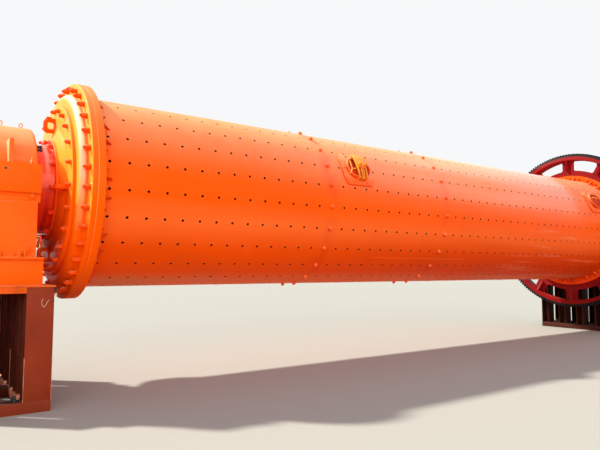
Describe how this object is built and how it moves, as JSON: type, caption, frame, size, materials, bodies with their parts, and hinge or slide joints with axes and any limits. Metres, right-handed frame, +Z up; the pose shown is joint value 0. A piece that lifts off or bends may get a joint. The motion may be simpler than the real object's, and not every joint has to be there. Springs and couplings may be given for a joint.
{
  "type": "tube rod mill",
  "caption": "Long horizontal grinding drum with flanged heads, hollow trunnions in capped bearings, a split girth gear and two steel stands.",
  "frame": {"origin": "floor level under the middle of the drum, midway between the two stands", "axes": "+X along the drum towards the gear end, +Y to the back, +Z up"},
  "size_m": [15.844, 4.1996, 4.83],
  "materials": {
    "drum_orange": "gloss orange enamel",
    "bearing_orange": "satin orange enamel",
    "gear_red": "red primer with bare dark teeth",
    "trunnion_crimson": "crimson enamel",
    "stand_oxide": "dull red oxide primer",
    "white_metal": "scraped bearing metal"
  },
  "bodies": {
    "frame": {"feed_bearing_cap": "bearing_orange", "feed_bearing_body": "bearing_orange", "feed_bush": "white_metal", "feed_seal_ring": "trunnion_crimson", "feed_sole_block": "bearing_orange", "feed_stand_sill": "stand_oxide", "feed_stand_posts": "stand_oxide", "feed_stand_rails": "stand_oxide", "discharge_bearing_cap": "bearing_orange", "discharge_bearing_body": "bearing_orange", "discharge_bush": "white_metal", "discharge_seal_ring": "trunnion_crimson", "discharge_sole_block": "bearing_orange", "discharge_stand_sill": "stand_oxide", "discharge_stand_posts": "stand_oxide", "discharge_stand_rails": "stand_oxide"},
    "drum": {"shell_course_1": "drum_orange", "shell_course_2": "drum_orange", "shell_course_3": "drum_orange", "shell_course_4": "drum_orange", "shell_course_5": "drum_orange", "discharge_course": "drum_orange", "girth_gear_upper": "gear_red", "girth_gear_lower": "gear_red", "manhole_1_pad": "drum_orange", "manhole_1_neck": "drum_orange", "manhole_1_cover": "drum_orange", "manhole_2_pad": "drum_orange", "manhole_2_neck": "drum_orange", "manhole_2_cover": "drum_orange", "manhole_1_bridges": "drum_orange", "feed_shell_flange": "drum_orange", "feed_head": "drum_orange", "feed_carrier": "drum_orange", "feed_carrier_cone": "drum_orange", "feed_lifting_lugs": "drum_orange", "feed_trunnion": "trunnion_crimson", "discharge_shell_flange": "drum_orange", "discharge_head": "drum_orange", "discharge_carrier": "drum_orange", "discharge_carrier_cone": "drum_orange", "discharge_lifting_lugs": "drum_orange", "discharge_trunnion": "trunnion_crimson"}
  },
  "joints": [
    {"name": "drum_spin", "type": "hinge", "parent": "frame", "child": "drum", "pos_m": [0, 0, 2.73], "axis": [1, 0, 0], "continuous": true}
  ]
}
